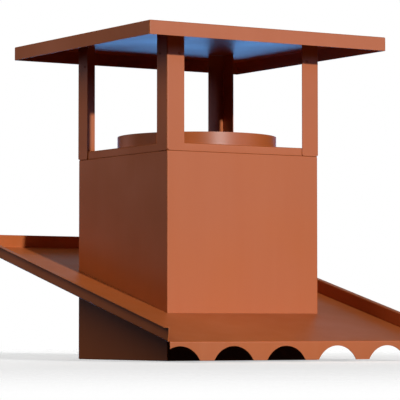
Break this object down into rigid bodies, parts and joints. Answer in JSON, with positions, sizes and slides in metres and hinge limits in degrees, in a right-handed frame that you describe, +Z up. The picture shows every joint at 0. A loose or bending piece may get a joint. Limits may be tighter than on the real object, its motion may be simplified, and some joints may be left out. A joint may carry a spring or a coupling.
{
  "type": "chimney roof terminal",
  "caption": "Square sheet-metal chimney terminal with a sloped roof flashing, a round flue collar and a flat rain cap on corner posts.",
  "frame": {"origin": "on the casing's axis, on the level plane that the casing's foot stands on", "axes": "+X along the eaves, +Y up the roof, +Z up"},
  "size_m": [0.7986, 0.994, 0.824],
  "materials": {
    "terracotta_paint": "satin"
  },
  "bodies": {
    "root": {"casing": "terracotta_paint", "flashing": "terracotta_paint", "crown_base": "terracotta_paint", "flue_collar": "terracotta_paint", "post_front_left": "terracotta_paint", "post_front_right": "terracotta_paint", "post_back_right": "terracotta_paint", "post_back_left": "terracotta_paint", "cap": "terracotta_paint"}
  },
  "joints": []
}
